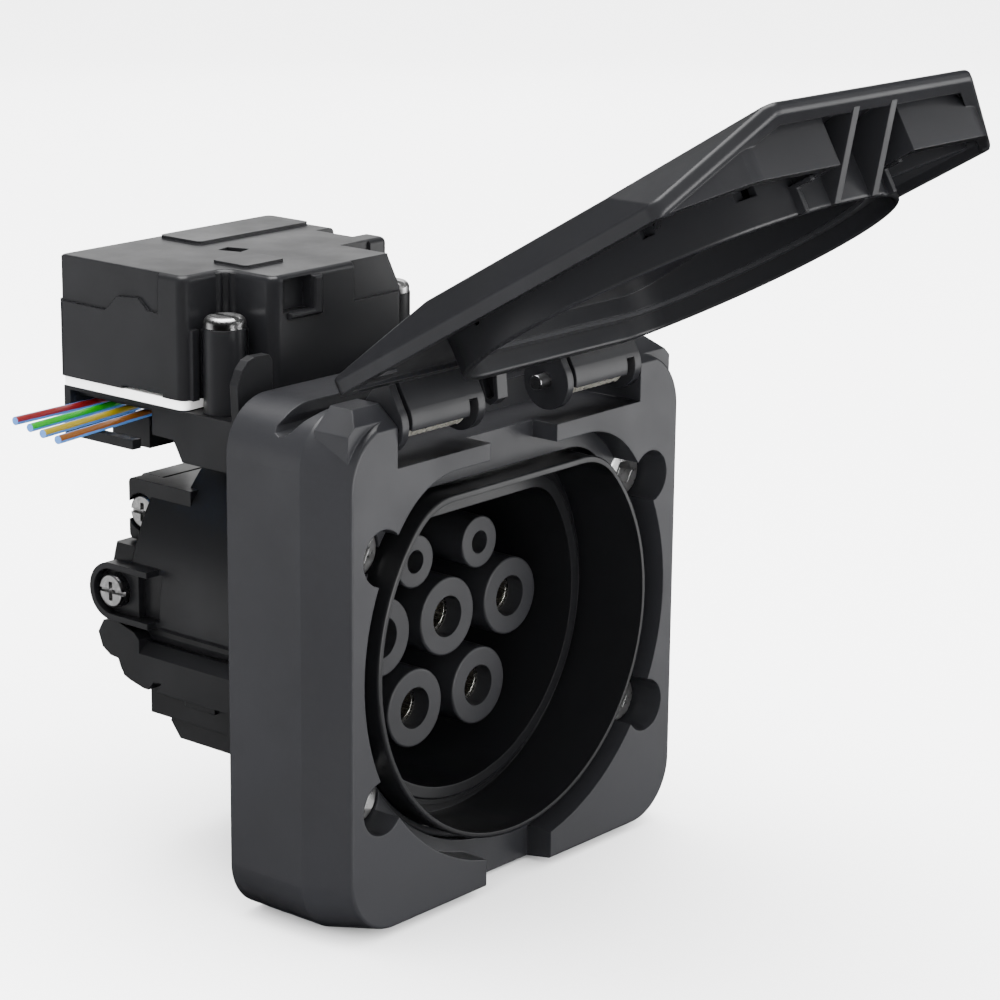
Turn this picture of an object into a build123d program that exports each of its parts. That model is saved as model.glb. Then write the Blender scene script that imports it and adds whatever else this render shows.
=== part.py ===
# Wall charging socket with a sprung hinged cover, a seven-contact insert and a
# pin lock driven by a small gear motor on a bracket above the insert.
#
# Millimetres. X to the right, Y into the wall, Z up.  The model is drawn with
# Y = 0 on the flange's front face and the X/Z origin on the centre contact; on
# export it is moved so that Y = 0 is the flange's rear (panel) face, at the
# centre of the four panel inserts.
import os
from math import sin, cos, tan, radians, pi, sqrt, atan2, degrees
from build123d import *

os.makedirs("parts", exist_ok=True)

# ----------------------------------------------------------------- dimensions
PANEL_Y = 26.6            # flange depth: front face to panel face
FL_W0, FL_W1 = 43.0, 44.5      # flange half width at the face / at the back
FL_B0, FL_B1 = -43.45, -45.0   # flange bottom at the face / at the back
FL_T0, FL_T1 = 43.8, 45.1      # flange top at the face / at the back
FL_DRAFT_Y = 10.0         # depth of the tapered front band
FL_WALL = 2.5
REC_R, REC_Z, REC_FLAT, REC_Y = 40.0, 0.5, 32.85, 5.5    # recess round the collar
NOTCH_X = 8.8             # half width of the two drain notches
SLOT_X0, SLOT_X1, SLOT_Z, SLOT_Y = 9.0, 32.0, 35.9, 15.0  # hinge cavity
PAN_P = 36.0              # panel insert half pitch
PAN_R = 2.1               # tapping core radius of the inserts
SCR_X, SCR_Z = 35.0, 21.4 # flange screw pattern
HINGE_Y, HINGE_Z = 4.3, 42.7   # hinge axis
OPEN_DEG = 30.0           # cover's rise above horizontal in the open position
HL_X0, HR_X0 = -31.7, 10.6     # left ends of the two knuckles
KN_R = 4.6                # knuckle outer radius
PIN_R = 1.30              # hinge pin radius
COL_R, COL_FLAT = 35.9, 28.4   # collar outer radius, outer flat height
COL_Y0, COL_Y1 = 0.75, 60.2    # collar lip, rear rim of the insert body
COL_IN_R, COL_IN_FLAT = 34.9, 27.3
GUIDE_R, GUIDE_FLAT, GUIDE_Y = 29.7, 20.6, 13.0   # plug guide opening
CAV_END_Y = 43.0          # bottom of the plug cavity
TOWER_Y = 17.0            # front faces of the contact towers
POWER = [(0.0, 0.0), (-17.0, 0.0), (17.0, 0.0), (-8.5, -14.8), (8.5, -14.8)]
PILOT = [(-8.5, 11.8), (8.5, 11.8)]
TOW_R, TOW_HOLE = 7.1, 3.72
PTOW_R, PTOW_HOLE = 4.7, 2.05
SLV_IN, SLV_OUT = 3.05, 4.55    # power sleeve bore / outside radius
PSLV_IN, PSLV_OUT = 1.55, 2.5   # pilot sleeve
REAR_Y0, REAR_Y1 = 60.8, 66.0   # rear cap
LOW_Y1 = 54.5                   # rear end of the lower, narrower barrel
LUG_X, LUG_TOP = 30.0, 22.6     # square screw lug: side face, top
CUP_X = 38.0                    # side face of the U-shaped screw cup
SCW1, SCW2 = (62.4, 16.6), (62.3, 3.9)   # (Y, Z) of the sideways screws
BR_Z0, BR_Z1 = 36.4, 38.2       # bracket plate
BASE_Z0, BASE_Z1 = 38.4, 40.1   # white base plate of the lock unit
BOX_TOP = 61.6                  # top of the lock unit's case
BX0, BX1 = -34.6, 16.4          # case sides
BY0, BY1 = 35.2, 76.6           # case front / back
LOCK_Y = 38.6                   # lock pin axis (x = 0)
LOCK_R = 2.5
LOCK_TRAVEL = 5.5

SHIFT = Location((0, -PANEL_Y, 0))


def save(node, obj):
    """Write one sub-part, moved to the panel frame."""
    solids = obj.solids()
    moved = [SHIFT * s for s in solids]
    out = moved[0] if len(moved) == 1 else Compound(children=moved)
    export_step(out, "parts/%s.step" % node)


def XZ(y):
    return Plane(origin=(0, y, 0), x_dir=(1, 0, 0), z_dir=(0, -1, 0))


def ey(sk, y0, y1):
    """Extrude an (x, z) sketch from depth y0 to y1."""
    return extrude(XZ(y0) * sk, amount=y1 - y0, dir=(0, 1, 0))


def ez(sk, z0, z1):
    """Extrude an (x, y) sketch from height z0 to z1."""
    return extrude(Pos(0, 0, z0) * sk, amount=z1 - z0, dir=(0, 0, 1))


def ex(pts, x0, x1):
    """Extrude a (y, z) polygon from x0 to x1."""
    pl = Plane(origin=(x0, 0, 0), x_dir=(0, 1, 0), z_dir=(1, 0, 0))
    return extrude(pl * Polygon(*pts, align=None), amount=x1 - x0, dir=(1, 0, 0))


def cy(x, z, r, y0, y1):
    return ey(Pos(x, z) * Circle(r), y0, y1)


def cz(x, y, r, z0, z1):
    return ez(Pos(x, y) * Circle(r), z0, z1)


def cx(y, z, r, x0, x1):
    pl = Plane(origin=(x0, 0, 0), x_dir=(0, 1, 0), z_dir=(1, 0, 0))
    return extrude(pl * (Pos(y, z) * Circle(r)), amount=x1 - x0, dir=(1, 0, 0))


def bx(x0, x1, y0, y1, z0, z1):
    return Pos((x0 + x1) / 2, (y0 + y1) / 2, (z0 + z1) / 2) * Box(x1 - x0, y1 - y0, z1 - z0)


def rr(x0, x1, z0, z1, r):
    return Pos((x0 + x1) / 2, (z0 + z1) / 2) * RectangleRounded(x1 - x0, z1 - z0, r)


def dee(r, flat, cr, zc=0.0):
    """Circle of radius r round (0, zc), cut flat at z = flat, corners cr."""
    sk = (Pos(0, zc) * Circle(r)) & (Pos(0, flat - 100) * Rectangle(200, 200))
    return fillet(sk.vertices(), radius=cr)


def edge_fillet(obj, pick, r):
    """Round the picked edges; leave them sharp where the kernel can't."""
    es = [e for e in obj.edges() if pick(e)]
    if not es:
        return obj
    try:
        out = fillet(es, radius=r)
        if out.is_valid and abs(out.volume) > 0:
            return out
    except Exception:
        pass
    return obj


# ------------------------------------------------------------ mounting flange
front = XZ(0) * rr(-FL_W0, FL_W0, FL_B0, FL_T0, 10.5)
mid = XZ(FL_DRAFT_Y) * rr(-FL_W1, FL_W1, FL_B1, FL_T1, 9.4)
flange = loft([front, mid]) + ey(rr(-FL_W1, FL_W1, FL_B1, FL_T1, 9.4), FL_DRAFT_Y, PANEL_Y)
# ears that carry the outer ends of the hinge pins
for sx in (-1, 1):
    wedge = Polygon(*[(sx * x, z) for x, z in ((32.0, 35.0), (32.0, 46.1), (38.4, 46.1), (42.2, 42.6), (42.2, 35.0))], align=None)
    flange += ey(wedge, 1.5, 8.9)
# ramp over the top of the face, and the swing groove behind it
flange -= ex([(-2, 41.05), (0, 42.7), (3.8, 45.8), (4.4, 46.3), (4.4, 60), (-2, 60)], -44.0, 44.0)
groove = ex([(8.9, 48), (9.8, 46.0), (11.0, 44.8), (12.6, 43.2), (13.6, 41.7), (14.5, 40.9), (15.9, 40.5),
             (17.0, 41.0), (17.3, 41.9), (16.8, 43.2), (16.2, 48)], -50, 50)
flange -= groove
# hinge cavity
flange -= bx(-SLOT_X1, SLOT_X1, -1, SLOT_Y, SLOT_Z, 60)
# recess with its drain notches and four screw lobes
flange -= ey(dee(REC_R, REC_FLAT, 17, REC_Z), -1, REC_Y)
flange -= bx(-NOTCH_X, NOTCH_X, -1, REC_Y, 31.0, SLOT_Z + 1)
flange -= bx(-NOTCH_X, NOTCH_X, -1, REC_Y, -60, -36)
for sx in (-1, 1):
    for sz in (-1, 1):
        lobe = Pos(sx * 35.4, sz * 21.5) * Circle(4.8) + Pos(sx * 32, sz * 19.2) * Rectangle(7, 8.0, rotation=sx * sz * 31)
        flange -= ey(lobe, -1, REC_Y)
# hollow back
pocket = ey(rr(-42.0, 42.0, -42.5, 32.6, 7.0), 8.6, PANEL_Y + 1)
pocket += ey(rr(-42.0, 42.0, 25.0, 42.6, 7.0), 19.4, PANEL_Y + 1)
flange -= pocket
# screw bosses behind the lobes
for sx in (-1, 1):
    for sz in (-1, 1):
        flange += cy(sx * SCR_X, sz * SCR_Z, 6.6, 8.0, 13.2)
        flange += bx(min(sx * 35, sx * 43), max(sx * 35, sx * 43), 8.0, 13.2, sz * SCR_Z - 3, sz * SCR_Z + 3)
for sx in (-1, 1):
    for sz in (-1, 1):
        flange -= cy(sx * 35.4, sz * 21.5, 4.8, -1, 10.6)
        flange -= cy(sx * SCR_X, sz * SCR_Z, 2.7, 8, 14)
        # insert bosses in the rear corners, tied to the side walls
        y0 = 8.0 if sz < 0 else 19.0
        flange += cy(sx * PAN_P, sz * PAN_P, 4.6, y0, PANEL_Y)
        flange += bx(min(sx * 36, sx * 43), max(sx * 36, sx * 43), y0, PANEL_Y - 1.5, sz * PAN_P - 1, sz * PAN_P + 1)
        flange += bx(sx * PAN_P - 1, sx * PAN_P + 1, y0, PANEL_Y - 1.5, min(sz * 36, sz * 43.2), max(sz * 36, sz * 43.2))
        flange -= cy(sx * PAN_P, sz * PAN_P, 3.0, PANEL_Y - 8.2, PANEL_Y + 1)
# opening for the collar
flange -= ey(dee(37.3, 28.95, 12), REC_Y - 1, 20)
# hinge pin bores through the ears, blind at the outside
for sx in (-1, 1):
    flange -= cx(HINGE_Y, HINGE_Z, PIN_R, min(sx * 31, sx * 37.2), max(sx * 31, sx * 37.2))
flange = edge_fillet(flange, lambda e: abs(e.center().Y) < 0.01 and (abs(e.center().X) > 42.9 or e.center().Z < -43.3 or (abs(e.center().X) > 34 and abs(e.center().Z) > 36)) , 0.5)
save("mounting_flange", flange)

# brass panel inserts pressed into the rear corners
ins = None
for sx in (-1, 1):
    for sz in (-1, 1):
        s = cy(sx * PAN_P, sz * PAN_P, 3.0, PANEL_Y - 8.0, PANEL_Y) - cy(sx * PAN_P, sz * PAN_P, PAN_R, PANEL_Y - 9, PANEL_Y + 1)
        ins = s if ins is None else ins + s
save("panel_inserts", ins)

# --------------------------------------------------------------- flange screws
scr = None
for sx in (-1, 1):
    for sz in (-1, 1):
        h = cy(sx * SCR_X, sz * SCR_Z, 4.25, 5.7, 10.6)
        h = edge_fillet(h, lambda e: abs(e.center().Y - 5.7) < 0.01, 0.45)
        h -= ey(Pos(sx * SCR_X, sz * SCR_Z) * RegularPolygon(2.31, 6), 5, 8.3)
        s = h + cy(sx * SCR_X, sz * SCR_Z, 2.45, 10.5, 24.5)
        scr = s if scr is None else scr + s
save("flange_screws", scr)

# --------------------------------------------------------------- socket insert
ins_body = ey(dee(COL_R, COL_FLAT, 12), COL_Y0, 34.0)
ins_body = edge_fillet(ins_body, lambda e: abs(e.center().Y - COL_Y0) < 0.01, 0.45)
up = Pos(0, 48.4) * Rectangle(200, 100)
low = Pos(0, -9.9) * Rectangle(200, 19.8)
barrel = ey(dee(36.0, 33.2, 14) & up, 28.0, COL_Y1)
barrel = edge_fillet(barrel, lambda e: abs(e.center().Y - COL_Y1) < 0.01 and e.center().Z > 0, 0.6)
barrel += ey((Circle(33.6) & low), 28.0, COL_Y1)
barrel += ey(Circle(32.2), 28.0, LOW_Y1)
barrel -= bx(-40, 40, 52.0, 70, LUG_TOP, 40)
ins_body += barrel
# ear plate behind the flange's front wall
ear = dee(36.6, 29.5, 12)
for sx in (-1, 1):
    for sz in (-1, 1):
        ear += Pos(sx * SCR_X, sz * SCR_Z) * Circle(5.6)
ins_body += ey(ear, 13.4, 19.0)


def sxr(sx, p, q):
    return (min(p * sx, q * sx), max(p * sx, q * sx))


for sx in (-1, 1):
    # rounded plate and flank under the screw cup, with a bevelled shelf edge
    flank = ex([(30, -4.8), (56.5, -4.8), (58.2, -3.2), (63.0, -1.8), (66.0, -2.4), (67.4, -4.8), (66.4, -7.4), (64.4, -8.6), (62.4, -8.8),
                (61.0, -11.6), (59.4, -12.2), (56.0, -13.0), (30, -13.0)], *sxr(sx, 29.0, 36.3))
    bev = Polygon(*[(sx * x, z) for x, z in ((34.4, -4.7), (36.4, -6.9), (40, -6.9), (40, -4.0), (34.4, -4.0))], align=None)
    flank -= ey(bev, 20, 57.0)
    ins_body += flank
    # chamfer and shadow gap between the barrel and the shelf
    gap = Polygon(*[(sx * x, z) for x, z in ((37, -1.0), (35.9, -1.0), (35.3, -2.4), (33.4, -2.7), (33.4, -4.7), (37, -4.7))], align=None)
    ins_body -= ey(gap, 27.0, 56.4)
    # lower block with its pointed rear end, clip tongue and slots
    ins_body += ex([(30, -17.2), (54.3, -17.2), (57.4, -21.1), (55.0, -24.0), (30, -24.1)], *sxr(sx, 20.0, 28.6))
    ins_body += bx(*sxr(sx, 27.0, 31.6), 43.2, 50.6, -16.2, -14.7)
    ins_body += bx(*sxr(sx, 27.0, 30.6), 34.0, 60.4, -19.7, -12.0)
    ins_body -= bx(*sxr(sx, 30.9, 33.4), 43.0, 49.6, -14.5, -13.5)
    ins_body -= ex([(51.6, -11.2), (53.6, -11.4), (56.6, -15.4), (54.9, -16.0)], *sxr(sx, 31.6, 38.0))
    ins_body -= bx(*sxr(sx, 35.0, 40), 28, 33.9, -30, 0.2)
    # U-shaped screw cup: its mouth faces sideways and runs out forwards
    cup = cx(SCW2[0], SCW2[1], 5.2, *sxr(sx, 33.0, CUP_X)) + bx(*sxr(sx, 33.0, CUP_X), 53.0, SCW2[0], SCW2[1] - 5.2, SCW2[1] + 5.2)
    ins_body += cup
    ins_body -= cx(SCW2[0], SCW2[1], 4.1, *sxr(sx, CUP_X - 1.9, CUP_X + 1)) + bx(*sxr(sx, CUP_X - 1.9, CUP_X + 1), 54.0, SCW2[0], SCW2[1] - 4.1, SCW2[1] + 4.1)
    ins_body -= bx(*sxr(sx, CUP_X - 3.4, CUP_X + 1), 52.0, 57.0, SCW2[1] - 4.1, SCW2[1] + 4.1)
    ins_body -= bx(*sxr(sx, 20.0, 35.1), COL_Y1, 70, -30.0, 10.0)
    ins_body -= cx(SCW2[0], SCW2[1], 1.6, *sxr(sx, 30.0, CUP_X + 1))
    # square screw lug behind the rim
    lug = bx(*sxr(sx, 26.5, LUG_X), 50.0, 65.5, 11.5, LUG_TOP)
    lug = edge_fillet(lug, lambda e: abs(e.center().Y - 65.5) < 0.01 and (abs(abs(e.center().X) - 28.25) < 0.1), 1.0)
    ins_body += lug
    ins_body -= cx(SCW1[0], SCW1[1], 3.5, *sxr(sx, LUG_X - 1.9, LUG_X))
    ins_body -= cx(SCW1[0], SCW1[1], 3.5, *sxr(sx, LUG_X - 1.9, LUG_X + 4)) & bx(-50, 50, COL_Y1, 70, 0, 30)
    ins_body -= cx(SCW1[0], SCW1[1], 1.6, *sxr(sx, 25.0, LUG_X + 1))
# funnel, guide ledge, plug cavity and carrier seat
ins_body -= ey(dee(COL_IN_R, COL_IN_FLAT, 11.4), -1, 15.4)
ledge = ey(dee(33.2, 24.6, 10.6), 14.2, 15.5)
ring = ey(dee(32.0, 23.0, 9.8), GUIDE_Y, 16.0)
ring = edge_fillet(ring, lambda e: abs(e.center().Y - GUIDE_Y) < 0.01, 0.4)
ins_body += ledge + ring
ins_body -= ey(dee(GUIDE_R, GUIDE_FLAT, 8.4), 0, CAV_END_Y)
ins_body -= cy(0, -1.2, 28.2, 40, 50.1)
ins_body -= ey(Circle(29.7), 50.0, 59.0) & bx(-50, 50, 40, 80, -50, 20.8)
ins_body -= cy(0, -1.2, 29.7, 50.0, 53.2)
ins_body -= ey((Circle(29.7) + Pos(0, -1.2) * Circle(29.7)) & (Pos(0, -9.6) * Rectangle(200, 60.8)), 50.0, 90)
# bracket seat on top: flat for the bracket, bore for the lock pin
ins_body -= cz(0, LOCK_Y, LOCK_R + 0.06, 15, 40)
# screw holes for the flange screws
for sx in (-1, 1):
    for sz in (-1, 1):
        ins_body -= cy(sx * SCR_X, sz * SCR_Z, 2.45, 12, 20)
save("socket_insert", ins_body)

# -------------------------------------------------------------- contact carrier
car = cy(0, -1.2, 28.15, CAV_END_Y + 0.1, 50.05)
car += cy(0, -1.2, 29.6, 50.0, 53.0)
for (x, z) in POWER:
    car -= cy(x, z, SLV_OUT, 40, 60)
for (x, z) in PILOT:
    car -= cy(x, z, PSLV_OUT, 40, 60)
save("contact_carrier", car)
towers = []
for (x, z) in POWER:
    t = cy(x, z, TOW_R, TOWER_Y, CAV_END_Y + 0.1)
    t = edge_fillet(t, lambda e: abs(e.center().Y - TOWER_Y) < 0.01, 0.35)
    t -= cy(x, z, TOW_HOLE, 10, 20.5)
    t -= cy(x, z, SLV_OUT, 20.5, 60)
    towers.append(t)
for (x, z) in PILOT:
    t = cy(x, z, PTOW_R, TOWER_Y, CAV_END_Y + 0.1)
    t = edge_fillet(t, lambda e: abs(e.center().Y - TOWER_Y) < 0.01, 0.3)
    t -= cy(x, z, PTOW_HOLE, 10, 20.5)
    t -= cy(x, z, PSLV_OUT, 20.5, 60)
    towers.append(t)
save("contact_towers", Compound(children=[t.solid() for t in towers]))

# -------------------------------------------------------------------- contacts
def power_contact(x, z):
    c = cy(x, z, SLV_OUT, 20.6, 52.9)
    c += cy(x, z, SLV_OUT + 1.2, 53.0, 54.4) + cy(x, z, SLV_OUT, 52.8, 53.2)
    c += cy(x, z, 3.9, 54.2, 67.0)
    c -= cy(x, z, SLV_IN, 20, 48.5)
    c -= cy(x, z, 2.6, 57.0, 70.0)
    # lengthwise slits of the spring cage
    c -= bx(x - 0.35, x + 0.35, 20, 40.0, z - 6, z + 6)
    c -= bx(x - 6, x + 6, 20, 40.0, z - 0.35, z + 0.35)
    # uncut ring at the mouth keeps the fingers together
    c += cy(x, z, SLV_OUT, 20.6, 22.2) - cy(x, z, SLV_IN, 20, 23)
    return c


def pilot_contact(x, z):
    c = cy(x, z, PSLV_OUT, 20.6, 52.9)
    c += cy(x, z, PSLV_OUT + 0.7, 53.0, 54.0) + cy(x, z, PSLV_OUT, 52.8, 53.2)
    c += cy(x, z, 2.1, 53.9, 66.0)
    c -= cy(x, z, PSLV_IN, 20, 42.0)
    c -= cy(x, z, 1.2, 58.0, 67.0)
    c -= bx(x - 0.25, x + 0.25, 20, 38.0, z - 4, z + 4)
    c += cy(x, z, PSLV_OUT, 20.6, 21.8) - cy(x, z, PSLV_IN, 20, 23)
    return c


for nm, (x, z) in zip(("contact_earth", "contact_neutral", "contact_phase_1", "contact_phase_2", "contact_phase_3"),
                      (POWER[0], POWER[2], POWER[1], POWER[3], POWER[4])):
    save(nm, power_contact(x, z))
for nm, (x, z) in zip(("contact_pilot", "contact_proximity"), PILOT):
    save(nm, pilot_contact(x, z))

# ------------------------------------------------------- rear seal and rear cap
side = Pos(0, 1.2) * Rectangle(200, 19.2)       # z from -8.4 to 10.8
seal = ey((Circle(33.0) - Circle(30.2)) & side, COL_Y1, REAR_Y0)
save("rear_seal", Compound(children=list(seal.solids())) if len(seal.solids()) > 1 else seal)

cap = ey(Circle(35.0) & (Pos(0, 5.0) * Rectangle(200, 35.2)), REAR_Y0, REAR_Y1)      # z -12.6 .. 22.6
cap = edge_fillet(cap, lambda e: abs(e.center().Y - REAR_Y1) < 0.01, 0.8)
cap += ey(Circle(29.4) & (Pos(0, -14.8) * Rectangle(200, 30.0)), REAR_Y0, REAR_Y1)
cap += ey(Circle(29.4) - Circle(26.6), LOW_Y1 - 1.0, REAR_Y0 + 1) & bx(-50, 50, 50, 70, -50, -9.0)
cap -= ey(Circle(26.6) & (Pos(0, -3.0) * Rectangle(200, 44.0)), REAR_Y0 - 1, REAR_Y1 - 2.2)
# guide sleeves for the contact tails, open at the rear for the wires
for (x, z) in POWER:
    cap += cy(x, z, 5.6, REAR_Y0 + 1.4, REAR_Y1)
    cap -= cy(x, z, 4.1, REAR_Y0 - 1, REAR_Y1 + 1)
for (x, z) in PILOT:
    cap += cy(x, z, 3.6, REAR_Y0 + 1.4, REAR_Y1)
    cap -= cy(x, z, 2.3, REAR_Y0 - 1, REAR_Y1 + 1)
for sx in (-1, 1):
    # seats for the lugs, posts for the sideways screws
    cap -= bx(*sxr(sx, 26.4, 40), 50, 70, 11.3, 30)
    cap -= bx(*sxr(sx, 35.0, 40), 50, 70, -3, 11)
    cap += bx(*sxr(sx, 20.0, 26.4), REAR_Y0, 65.4, 13.0, 20.4)
    cap += bx(*sxr(sx, 24.0, 34.6), REAR_Y0, 65.4, 0.4, 7.4)
    cap -= cx(SCW1[0], SCW1[1], 1.35, *sxr(sx, 21.2, 30))
    cap -= cx(SCW2[0], SCW2[1], 1.35, *sxr(sx, 25.2, 40))
save("rear_cap", cap)

rs = []
for sx in (-1, 1):
    for (yy, zz, xf, xe) in ((SCW1[0], SCW1[1], LUG_X - 1.9, 21.4), (SCW2[0], SCW2[1], CUP_X - 1.9, 25.4)):
        h = cx(yy, zz, 3.1, *sxr(sx, xf, xf + 1.75))
        h = edge_fillet(h, lambda e: abs(abs(e.center().X) - (xf + 1.75)) < 0.01, 0.5)
        h -= bx(*sxr(sx, xf + 1.0, xf + 3), yy - 4, yy + 4, zz - 0.35, zz + 0.35)
        h -= bx(*sxr(sx, xf + 0.7, xf + 3), yy - 0.42, yy + 0.42, zz - 1.7, zz + 1.7)
        rs.append((h + cx(yy, zz, 1.35, *sxr(sx, xe, xf + 0.1))).solid())
save("rear_cap_screws", Compound(children=rs))

# ------------------------------------------------------------- hinged cover
# The cover is drawn in its own frame: x across, y = -(distance from the hinge
# axis towards the free edge), z = height outwards from the hinge axis plane.
RIM_N, EDGE_N, TOP_N = 4.7, 6.85, 11.95
W_RIM, W_TOP = 45.0, 40.3
D0, D_SH, D_END = 5.2, 78.3, 91.5
END_W, END_N0, END_N1 = 26.2, 13.1, 15.15
FLARE_D = 67.5
SKIN = 2.0


def side_cut(p1, p2, p3, inside):
    """Half space through three points, on the side away from inside."""
    a = Vector(*p2) - Vector(*p1)
    b = Vector(*p3) - Vector(*p1)
    n = a.cross(b).normalized()
    if (Vector(*inside) - Vector(*p1)).dot(n) > 0:
        n = n * -1
    pl = Plane(origin=p1, z_dir=n)
    return pl * Pos(0, 0, 60) * Box(300, 300, 120)


def hull(t, n_low):
    """Outer form of the cover taken in by t, reaching down to n_low."""
    w, wt = W_RIM - t, W_TOP - t * 0.75
    d0, dsh, dend = D0 + t, D_SH - t * 0.35, D_END - t
    endw = END_W - t * 0.9
    pts = [(d0, n_low), (d0, 7.55 - t), (27.0, TOP_N - t), (FLARE_D, TOP_N - t), (dend, END_N1 - t),
           (dend, min(n_low, END_N0)), (dsh, n_low)]
    prof = Plane(origin=(-w, 0, 0), x_dir=(0, -1, 0), z_dir=(-1, 0, 0))
    # profile in (-y, z): extruded across x
    sk = Polygon(*[(d, n) for d, n in pts], align=None)
    pl = Plane(origin=(w, 0, 0), x_dir=(0, -1, 0), z_dir=(-1, 0, 0))
    body = extrude(pl * sk, amount=2 * w, dir=(-1, 0, 0))
    plan = Polygon((-w, -d0), (w, -d0), (w, -dsh), (endw, -dend), (-endw, -dend), (-w, -dsh), align=None)
    plan = fillet(plan.vertices(), radius=max(0.8, 3.0 - t))
    body = body & ez(plan, n_low - 1, 30)
    for sx in (-1, 1):
        inside = (0, -40, 2)
        body -= side_cut((sx * w, 0, EDGE_N - t * 0.3), (sx * w, -50, EDGE_N - t * 0.3), (sx * wt, -50, TOP_N - t), inside)
        p1 = (sx * w, -dsh, EDGE_N - t * 0.3)
        p2 = (sx * (endw + 0.2), -dend, END_N1 - t)
        p3 = (sx * wt, -FLARE_D, TOP_N - t)
        cut = side_cut(p1, p2, p3, inside) & bx(-60, 60, -120, -FLARE_D, -10, 40)
        body -= cut
    return body


cover = hull(0.0, RIM_N)
# the free end's lower edge climbs outwards
under = Plane(origin=(60, 0, 0), x_dir=(0, -1, 0), z_dir=(-1, 0, 0)) * Polygon((D_SH + 0.2, 0), (D_SH + 0.2, RIM_N), (D_END + 0.3, END_N0 + 0.15), (D_END + 8, END_N0 + 0.2), (D_END + 8, 0), align=None)
cover -= extrude(under, amount=120, dir=(-1, 0, 0))
cover = edge_fillet(cover, lambda e: e.center().Z > 6.0 and e.length > 6, 0.9)
inner = hull(SKIN, -2.0)
cover -= inner
# ring wall that closes over the collar; drawn with its centre below the hinge
RING_R, RING_FLAT = 37.6, 31.7
RING_IN, RING_IN_FLAT = 36.45, 29.2
RING_N = 0.75


def deeL(r, flat, cr):
    """Collar outline seen in the cover frame (y = z_closed - hinge height)."""
    sk = Pos(0, -HINGE_Z) * (Circle(r) & (Pos(0, flat - 100) * Rectangle(200, 200)))
    return fillet(sk.vertices(), radius=cr)


ringw = ez(deeL(RING_R, RING_FLAT, 13.4) - deeL(RING_IN, RING_IN_FLAT, 12.0), RING_N, TOP_N - SKIN + 0.6)
ringw = edge_fillet(ringw, lambda e: abs(e.center().Z - RING_N) < 0.01, 0.5)
# three small drain notches in the ring's rim on each flank
for (x0, x1, d0, d1) in ((-36.5, -30.0, 63.6, 67.0), (-23.0, -17.4, 74.2, 77.6), (30.0, 36.5, 63.6, 67.0), (17.4, 23.0, 74.2, 77.6), (-39.0, -33.5, 30.4, 31.8)):
    ringw -= bx(x0, x1, -d1, -d0, 5.6, 7.2)
inside = hull(0.8, -2.0)
cover += ringw & inside
# inner step that holds the seal
cover += ez(deeL(37.0, 29.7, 12.4) - deeL(33.2, 25.9, 10.2), 4.6, 5.8) & inside
cover += ez(deeL(34.4, 27.1, 10.8) - deeL(33.2, 25.9, 10.2), 5.6, 16.0) & inside
# end wall of the cover's body behind the flared free end, with its returns
WALL_D, WALL_N, WALL_X = 86.9, 4.9, 10.0
path = [(-44.6, -79.0), (-31.2, -WALL_D), (31.2, -WALL_D), (44.6, -79.0), (42.6, -77.4), (30.4, -WALL_D + 1.7), (-30.4, -WALL_D + 1.7), (-42.6, -77.4)]
wl = Polygon(*path, align=None)
wl = fillet([v for v in wl.vertices() if abs(v.X) < 35], radius=7.0)
wall = (ez(wl, WALL_N, 18.0) - bx(-WALL_X, WALL_X, -100, -60, 0, 30)) & hull(0.8, 0.0)
cover += wall


def rib(x0, x1, pts):
    pl = Plane(origin=(x1, 0, 0), x_dir=(0, -1, 0), z_dir=(-1, 0, 0))
    return extrude(pl * Polygon(*pts, align=None), amount=x1 - x0, dir=(-1, 0, 0))


for sx in (-1, 1):
    # twin ribs from the ring to the free end
    cover += rib(*sxr(sx, 4.3, 5.9), [(79.3, RING_N), (80.4, RING_N), (D_END - 0.4, END_N0 + 0.1), (D_END - 0.6, END_N1 - 1.0), (79.3, 11.0)])
    # returns of the end wall and a short web at the ring's foot
    cover += rib(*sxr(sx, WALL_X, WALL_X + 1.3), [(78.0, WALL_N), (WALL_D - 0.2, WALL_N), (WALL_D - 0.2, 18.0), (78.0, 18.0)]) & inside
    cover += rib(*sxr(sx, 11.4, 12.4), [(77.6, RING_N + 0.1), (79.6, RING_N + 0.1), (79.6, WALL_N - 0.3), (82.6, WALL_N - 0.3), (82.6, WALL_N + 0.4), (77.6, WALL_N + 0.4)])
    # stiffeners between ring and rim
    for (xa, da, xb, db) in ((30.0, 66.0, 41.0, 76.0), (36.5, 52.0, 43.4, 52.0), (35.5, 26.0, 43.6, 22.0)):
        q = Polygon((sx * xa, -da - 0.5), (sx * xb, -db - 0.5), (sx * xb, -db + 0.5), (sx * xa, -da + 0.5), align=None)
        cover += ez(q, 6.2, 16.0) & inside
# knuckles: a thin end plate, a half shell over the spring with its roof and
# front wall up to the cover's near edge, and a full disc at the other end
def cxl(d, n, r, x0, x1):
    pl = Plane(origin=(x0, 0, 0), x_dir=(0, 1, 0), z_dir=(1, 0, 0))
    return extrude(pl * (Pos(-d, n) * Circle(r)), amount=x1 - x0, dir=(1, 0, 0))


def exl(pts, x0, x1):
    pl = Plane(origin=(x1, 0, 0), x_dir=(0, -1, 0), z_dir=(-1, 0, 0))
    return extrude(pl * Polygon(*pts, align=None), amount=x1 - x0, dir=(-1, 0, 0))


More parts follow.
